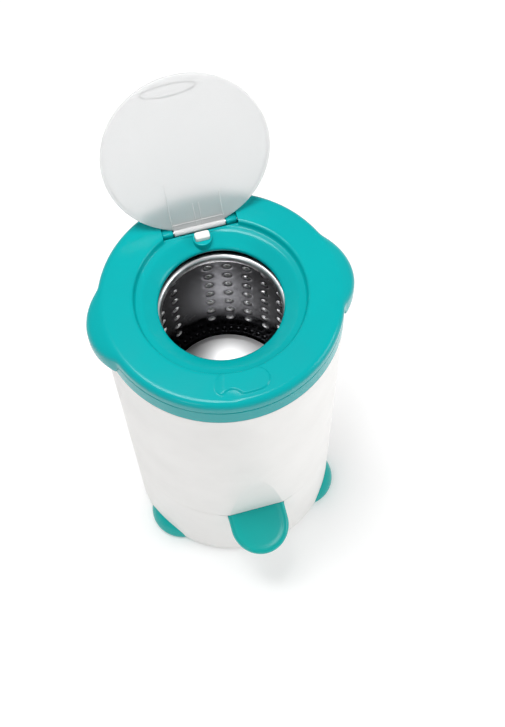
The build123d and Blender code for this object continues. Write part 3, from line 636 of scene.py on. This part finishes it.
# tube that turns on the hinge pin
knuckle = {"outer": 5.2, "bore": 2.58, "halfLength": 39.8, "segments": 40}
knuckleBm = bmesh.new()
knuckleEnd = (Matrix.Translation((-knuckle["halfLength"] * mm, 0, 0))
              @ Matrix.Rotation(math.pi / 2, 4, "Y"))
for radius in (knuckle["outer"], knuckle["bore"]):
    bmesh.ops.create_circle(knuckleBm, cap_ends=False, segments=knuckle["segments"], radius=radius * mm,
                            matrix=knuckleEnd)
bmesh.ops.bridge_loops(knuckleBm, edges=knuckleBm.edges[:])
drawn = bmesh.ops.extrude_face_region(knuckleBm, geom=knuckleBm.faces[:])
bmesh.ops.translate(knuckleBm, vec=(2 * knuckle["halfLength"] * mm, 0, 0), verts=vertsOf(drawn["geom"]))
bmesh.ops.transform(knuckleBm, matrix=lidPlace, verts=knuckleBm.verts)
makePiece(knuckleBm, "lidKnuckle", frostedRib, "lid", sharp=40)

# lens-shaped finger pull on the outside face, at the free edge
pull = {"halfLength": 42, "nearShare": 0.26, "farShare": 0.2, "wall": 1.3, "rise": 1.2, "sunk": 0.05,
        "place": (-9, 233.5)}
pullBm = bmesh.new()
bmesh.ops.create_circle(pullBm, cap_ends=True, segments=64, radius=pull["halfLength"] * mm)
for vert in pullBm.verts:
    vert.co.y *= pull["nearShare"] if vert.co.y < 0 else pull["farShare"]
pullFace = pullBm.faces[:]
bmesh.ops.inset_region(pullBm, faces=pullFace, thickness=pull["wall"] * mm, use_boundary=True,
                       use_even_offset=True)
bmesh.ops.delete(pullBm, geom=pullFace, context="FACES")
lifted = bmesh.ops.extrude_face_region(pullBm, geom=pullBm.faces[:], use_keep_orig=True)
bmesh.ops.translate(pullBm, vec=(0, 0, -pull["rise"] * mm), verts=vertsOf(lifted["geom"]))
pullX, pullY = pull["place"]
bmesh.ops.translate(pullBm, vec=(pullX * mm, pullY * mm, (pull["sunk"] - half) * mm), verts=pullBm.verts)
bmesh.ops.transform(pullBm, matrix=lidPlace, verts=pullBm.verts)
makePiece(pullBm, "lidPull", frostedRib, "lid", sharp=40)
print("lid made")


# drum wall: flat cells, pressed round their holes, wrapped into a cylinder and carried on to a rolled lip
drum = {
    "radius": 121.0,        # inside
    "sheet": 1.0,
    "columns": 24,
    "firstColumn": 87.5,    # degrees from +X
    "blankEvery": 6,
    "rows": 8,
    "rowPitch": 28.0,
    "middle": 451.5,
    "cellCuts": 4,
    "plainBand": 577,       # a height where the wall has no holes
    "lipHighlightAbove": 583,
    "lipHighlightInside": 101,
    "rimHighlightBelow": 570,
    "rimHighlightFrom": 0.12,    # depths of the pressing that get the near-white steel, a painted highlight
    "rimHighlightTo": 1.72,
}
# radius from the hole's middle, and depth of the pressing
dimpleRings = [(2.5, 1.75), (3.4, 1.6), (4.6, 1.25), (5.8, 0.7), (6.8, 0.1), (7.5, -0.28), (8.3, -0.2),
               (9.2, 0), (12, 0)]
wallFoot = [(121, 330), (121, 322), (121, 317.4)]
rolledLip = [
    (121, 573), (121, 582), (120.1, 586.8), (117.4, 590.8), (113.4, 593.4), (108.6, 594.6), (104, 595),
    (102.2, 595.1), (100.9, 596.2), (99.4, 597), (97.8, 597), (96.3, 596.4), (95.0, 595.2), (94.0, 593.4),
    (93.3, 591), (93.1, 588), (93.4, 585.4), (94.4, 583.6),
]


def pressedCell(bm, wide, high, rings, cuts):
    # one flat cell in X and Y with a hole in its middle; Z holds the depth of the pressing
    corners = [(0.5, 0.5), (-0.5, 0.5), (-0.5, -0.5), (0.5, -0.5)]
    verts = bmesh.ops.create_circle(bm, cap_ends=False, segments=cuts * 4, radius=1.0,
                                    matrix=Matrix.Rotation(math.pi / 4, 4, "Z"))["verts"]
    edges = list(dict.fromkeys(edge for vert in verts for edge in vert.link_edges))
    holeRadius, holeDepth = rings[0]
    for vert in verts:
        vert.co = (vert.co.x * holeRadius, vert.co.y * holeRadius, holeDepth)
    everything = list(verts)
    for radius, depth in rings[1:]:
        verts, edges = extrudeRing(bm, edges)
        for vert in verts:
            angle = math.atan2(vert.co.y, vert.co.x)
            vert.co = (math.cos(angle) * radius, math.sin(angle) * radius, depth)
        everything += verts
    verts, edges = extrudeRing(bm, edges)
    for vert in verts:      # the cell's own border, its points evenly spaced on each side
        angle = math.atan2(vert.co.y, vert.co.x)
        place = round((angle - math.pi / 4) / (math.pi / 2 / cuts)) % (4 * cuts)
        corner, share = place // cuts, place % cuts / cuts
        (ax, ay), (bx, by) = corners[corner], corners[(corner + 1) % 4]
        vert.co = ((ax + (bx - ax) * share) * wide, (ay + (by - ay) * share) * high, 0)
    return everything + verts


def plainCell(bm, wide, high, cuts):
    verts = bmesh.ops.create_grid(bm, x_segments=cuts, y_segments=cuts, size=0.5)["verts"]
    for vert in verts:
        vert.co = (vert.co.x * wide, vert.co.y * high, 0)
    return verts


def openEdges(bm, isOnLoop):
    return [e for e in bm.edges if e.is_boundary and all(isOnLoop(v.co) for v in e.verts)]


drumBm = bmesh.new()
arc = math.tau / drum["columns"]
cellWidth = arc * drum["radius"]
for column in range(drum["columns"]):
    turn = math.radians(drum["firstColumn"]) - column * arc
    for rowIndex in range(drum["rows"]):
        height = drum["middle"] + (rowIndex - (drum["rows"] - 1) / 2) * drum["rowPitch"]
        if column % drum["blankEvery"] == drum["blankEvery"] - 1:
            cell = plainCell(drumBm, cellWidth, drum["rowPitch"], drum["cellCuts"])
        else:
            cell = pressedCell(drumBm, cellWidth, drum["rowPitch"], dimpleRings, drum["cellCuts"])
        for vert in cell:   # wraps the flat cell onto the drum
            angle = turn + vert.co.x / drum["radius"]
            reach = (drum["radius"] + vert.co.z) * mm
            vert.co = (reach * math.cos(angle), reach * math.sin(angle), (height + vert.co.y) * mm)
bmesh.ops.remove_doubles(drumBm, verts=drumBm.verts, dist=0.05 * mm)
for sign, profile in ((-1, wallFoot), (1, rolledLip)):
    endHeight = drum["middle"] + sign * drum["rows"] * drum["rowPitch"] / 2
    growRings(drumBm, openEdges(drumBm, lambda place: abs(place.z / mm - endHeight) < 0.05), profile)
bmesh.ops.recalc_face_normals(drumBm, faces=drumBm.faces)
# the faces have to look inwards before the sheet gets its thickness
sample = min(drumBm.faces, key=lambda f: abs(f.calc_center_median().z / mm - drum["plainBand"]))
if sample.normal.dot(Vector((*sample.calc_center_median().xy, 0))) > 0:
    bmesh.ops.reverse_faces(drumBm, faces=drumBm.faces)
bmesh.ops.solidify(drumBm, geom=drumBm.faces, thickness=drum["sheet"] * mm)
# painted shade: the wall and its end rings take the near-black steel
drumWall = makePiece(drumBm, "drumWall", drumSteelPaintedShade, "drum", ["drum_shell"], sharp=50)
drumWall.data.materials.append(lipSteelPaintedHighlight)
drumWall.data.materials.append(punchedRimPaintedHighlight)
# painted highlights: the rolled lip and the rims of the holes take the near-white copies of the steel
for polygon in drumWall.data.polygons:
    x, y, z = polygon.center / mm
    reach = math.hypot(x, y)
    depth = reach - drum["radius"]
    inward = polygon.normal.x * x + polygon.normal.y * y < 0
    if z > drum["lipHighlightAbove"] and reach < drum["lipHighlightInside"]:
        polygon.material_index = 1
    elif z < drum["rimHighlightBelow"] and inward and drum["rimHighlightFrom"] < depth < drum["rimHighlightTo"]:
        polygon.material_index = 2
print("drum wall pressed")

# drum floor: a ring of drain holes, a groove and a polished dome
drumFloor = {
    "cells": 60,
    "cellSize": 12,
    "inside": 109.4,
    "outside": 120.9,
    "height": 322.2,
    "sheet": 1.0,
    "domeEdge": 100.0,
    "domeLow": 327.0,
    "domeTop": 343.0,
    "polishedPaintedHighlightInside": 101.5,
}
drainRings = [(1.5, 0.9), (2.1, 0.8), (3.0, 0.3), (3.8, -0.2), (4.6, 0)]
grooveRows = [(106.5, 322.25), (105.2, 322.7), (103.8, 324), (102.5, 325.6), (101.3, 326.6)]
domeShares = (1.0, 0.97, 0.92, 0.85, 0.76, 0.66, 0.55, 0.44, 0.33, 0.22, 0.12, 0.05)
floorBm = bmesh.new()
cellArc = math.tau / drumFloor["cells"]
band = drumFloor["outside"] - drumFloor["inside"]
bandMiddle = (drumFloor["outside"] + drumFloor["inside"]) / 2
cellRings = [(radius / drumFloor["cellSize"], depth) for radius, depth in drainRings]
for number in range(drumFloor["cells"]):
    for vert in pressedCell(floorBm, 1.0, 1.0, cellRings, drum["cellCuts"]):
        angle = number * cellArc + vert.co.x * cellArc
        reach = (bandMiddle + vert.co.y * band) * mm
        vert.co = (reach * math.cos(angle), reach * math.sin(angle), (drumFloor["height"] - vert.co.z) * mm)
bmesh.ops.remove_doubles(floorBm, verts=floorBm.verts, dist=0.02 * mm)
domeRise = drumFloor["domeTop"] - drumFloor["domeLow"]
sphere = (drumFloor["domeEdge"] ** 2 + domeRise ** 2) / (2 * domeRise)
domeReaches = [drumFloor["domeEdge"] * share for share in domeShares]
domeRows = [(reach, drumFloor["domeTop"] - sphere + math.sqrt(sphere ** 2 - reach ** 2))
            for reach in domeReaches]
bandEdges = openEdges(floorBm, lambda place: abs(place.xy.length / mm - drumFloor["inside"]) < 0.05)
bmesh.ops.holes_fill(floorBm, edges=growRings(floorBm, bandEdges, grooveRows + domeRows))
bmesh.ops.recalc_face_normals(floorBm, faces=floorBm.faces)
topFace = max(floorBm.faces, key=lambda f: f.calc_center_median().z)
if topFace.normal.z < 0:
    bmesh.ops.reverse_faces(floorBm, faces=floorBm.faces)
bmesh.ops.solidify(floorBm, geom=floorBm.faces, thickness=drumFloor["sheet"] * mm)
# painted shade: the ring of drain holes takes the near-black steel
drumBase = makePiece(floorBm, "drumFloor", drumSteelPaintedShade, "drum", ["drum_floor"], sharp=50)
# painted highlight: the polished dome takes the near-white steel
drumBase.data.materials.append(domeSteelPaintedHighlight)
for polygon in drumBase.data.polygons:
    if polygon.center.xy.length / mm < drumFloor["polishedPaintedHighlightInside"]:
        polygon.material_index = 1
print("drum floor spun")


# drain spout: a sloping tongue with a round front end, a full quarter-round rim and a shallow dished top
spout = {
    "half": 50.0,
    "straight": 25.0,
    "root": 30.0,
    "depth": 14.0,
    "rim": 6.5,
    "rimSteps": 6,
    "slope": 15.0,          # degrees
    "rearY": -171.1,
    "topZ": 186.0,
    "boxGap": 0.2,          # kept clear of the front of the CAD node's box
    "lowerBevel": 1.0,
    "dish": [(1.2, 0.0), (1.8, -0.15), (2.2, -0.3), (2.6, -0.3), (2.2, -0.15)],    # inset and drop
}
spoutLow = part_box("spout")[0]
slope = math.radians(spout["slope"])
spoutReach = (-spoutLow.y / mm + spout["rearY"]) / math.cos(slope)
spoutReach += spout["rim"] * math.tan(slope) - spout["boxGap"]
spoutPlace = Matrix(((1, 0, 0, 0),
                     (0, math.cos(slope), -math.sin(slope), spout["rearY"] * mm),
                     (0, math.sin(slope), math.cos(slope), spout["topZ"] * mm),
                     (0, 0, 0, 1)))
spoutBm = bmesh.new()
bmesh.ops.create_circle(spoutBm, cap_ends=True, segments=96, radius=1.0)
for vert in spoutBm.verts:
    x, y, z = vert.co
    if y < -1e-6:
        vert.co = (x * spout["half"], y * (spoutReach - spout["straight"]) - spout["straight"], 0)
    else:
        vert.co = (x * spout["half"], y * spout["root"], 0)
bmesh.ops.scale(spoutBm, vec=(mm, mm, mm), verts=spoutBm.verts)
bmesh.ops.translate(spoutBm, vec=(0, 0, -spout["rim"] * mm), verts=spoutBm.verts)
spoutFace = spoutBm.faces[:]
if spoutFace[0].normal.z < 0:
    bmesh.ops.reverse_faces(spoutBm, faces=spoutFace)
down = bmesh.ops.extrude_face_region(spoutBm, geom=spoutFace, use_keep_orig=True)
bmesh.ops.translate(spoutBm, vec=(0, 0, (spout["rim"] - spout["depth"]) * mm), verts=vertsOf(down["geom"]))
bmesh.ops.recalc_face_normals(spoutBm, faces=spoutBm.faces)
bowl = max(spoutBm.faces, key=lambda f: f.normal.z * f.calc_area())
turns = [math.radians(90 * k / spout["rimSteps"]) for k in range(spout["rimSteps"] + 1)]
rimInsets = [(spout["rim"] * (math.cos(a) - math.cos(b)), spout["rim"] * (math.sin(b) - math.sin(a)))
             for a, b in zip(turns, turns[1:])]
for thickness, depth in rimInsets + spout["dish"]:
    bmesh.ops.inset_region(spoutBm, faces=[bowl], thickness=thickness * mm, depth=depth * mm,
                           use_even_offset=True)
lower = [e for e in spoutBm.edges if all(abs(v.co.z + spout["depth"] * mm) < 1e-6 for v in e.verts)]
bmesh.ops.bevel(spoutBm, geom=lower, offset=spout["lowerBevel"] * mm, affect="EDGES", segments=3,
                profile=0.5, material=-1)
bmesh.ops.transform(spoutBm, matrix=spoutPlace, verts=spoutBm.verts)
makePiece(spoutBm, "drainSpout", tealFeet, "cabinet", ["spout"], sharp=50)
print("spout made")


# white paper sweep, which glows more with distance so that it stays white to the horizon
sweep = {"halfSize": 30.0, "glowFrom": 1.3, "glowTo": 5.0, "leastGlow": 0.2, "mostGlow": 0.62}
sweepBm = bmesh.new()
bmesh.ops.create_grid(sweepBm, x_segments=1, y_segments=1, size=sweep["halfSize"])
sweepMesh = bpy.data.meshes.new("studioFloor")
sweepBm.to_mesh(sweepMesh)
sweepBm.free()
studioFloor = bpy.data.objects.new("studioFloor", sweepMesh)
scene.collection.objects.link(studioFloor)
paper, paperTree, paperShader, paperWhere = startMaterial("whitePaper", {
    "Base Color": linearColour("#ECECEC"), "Roughness": 0.9, "Specular IOR Level": 0.1,
    "Emission Color": linearColour("#FFFFFF")})
away = addNode(paperTree, "VectorMath", links={0: paperWhere}, operation="LENGTH")
glow = addNode(paperTree, "MapRange", {"From Min": sweep["glowFrom"], "From Max": sweep["glowTo"],
                                       "To Min": sweep["leastGlow"], "To Max": sweep["mostGlow"]},
               {"Value": away.outputs["Value"]})
wire(paperTree, glow.outputs["Result"], paperShader, "Emission Strength")
sweepMesh.materials.append(paper)

# soft white room: dimmer for what it lights than as a backdrop
room = {"light": 0.46, "backdrop": 1.0}
world = bpy.data.worlds.new("studio")
scene.world = world
world.use_nodes = True
worldTree = world.node_tree
worldTree.nodes.clear()
sky = addNode(worldTree, "Background", {"Color": linearColour("#FFFFFF"), "Strength": room["light"]})
backdrop = addNode(worldTree, "Background", {"Color": linearColour("#FFFFFF"),
                                             "Strength": room["backdrop"]})
seen = addNode(worldTree, "LightPath").outputs["Is Camera Ray"]
choice = addNode(worldTree, "MixShader", links={0: seen, 1: sky.outputs["Background"],
                                                2: backdrop.outputs["Background"]})
addNode(worldTree, "OutputWorld", links={"Surface": choice.outputs["Shader"]})


def standAimed(name, data, place, direction, roll=0.0):
    # stands a lamp or camera at a place, looking along a direction
    holder = bpy.data.objects.new(name, data)
    holder.location = place
    holder.rotation_mode = "QUATERNION"
    holder.rotation_quaternion = (Vector(direction).to_track_quat("-Z", "Y")
                                  @ Quaternion((0, 0, 1), math.radians(roll)))
    scene.collection.objects.link(holder)
    return holder


softboxes = {
    "overhead": {"place": (-0.35, 0.25, 3.1), "size": 1.1, "power": 56},
    "frontLeft": {"place": (-1.7, -2.1, 2.0), "size": 0.8, "power": 9},
    "sideRight": {"place": (2.4, -0.9, 1.6), "size": 1.2, "power": 26},
}
softboxAim = (0, 0, 0.4)
for lightName, setting in softboxes.items():
    lamp = bpy.data.lights.new(lightName, "AREA")
    lamp.shape, lamp.size, lamp.energy = "SQUARE", setting["size"], setting["power"]
    standAimed(lightName, lamp, setting["place"], Vector(softboxAim) - Vector(setting["place"]))

# narrow beam from above that reaches the drum's floor through its mouth
snoot = {"place": (0.03, 0.075, 3.0), "aim": (0.018, 0.045, 0.34), "power": 150, "cone": 2.5, "blend": 0.8,
         "softness": 0.03}
beam = bpy.data.lights.new("snoot", "SPOT")
beam.energy, beam.spot_size, beam.spot_blend = snoot["power"], math.radians(snoot["cone"]), snoot["blend"]
beam.shadow_soft_size = snoot["softness"]
standAimed("snoot", beam, snoot["place"], Vector(snoot["aim"]) - Vector(snoot["place"]))

cameraSetup = {
    "place": (-0.1956, -1.0063, 2.4516),
    "direction": (0.10419, 0.43663, -0.89359),
    "roll": -2.256,
    "lens": 69.26,
    "sensor": 36.0,
}
camera = bpy.data.cameras.new("camera")
camera.lens, camera.sensor_width = cameraSetup["lens"], cameraSetup["sensor"]
camera.clip_start, camera.clip_end = 0.05, 50.0
scene.camera = standAimed("camera", camera, cameraSetup["place"], cameraSetup["direction"],
                          cameraSetup["roll"])
scene.view_settings.view_transform = "Standard"
print("studio ready")
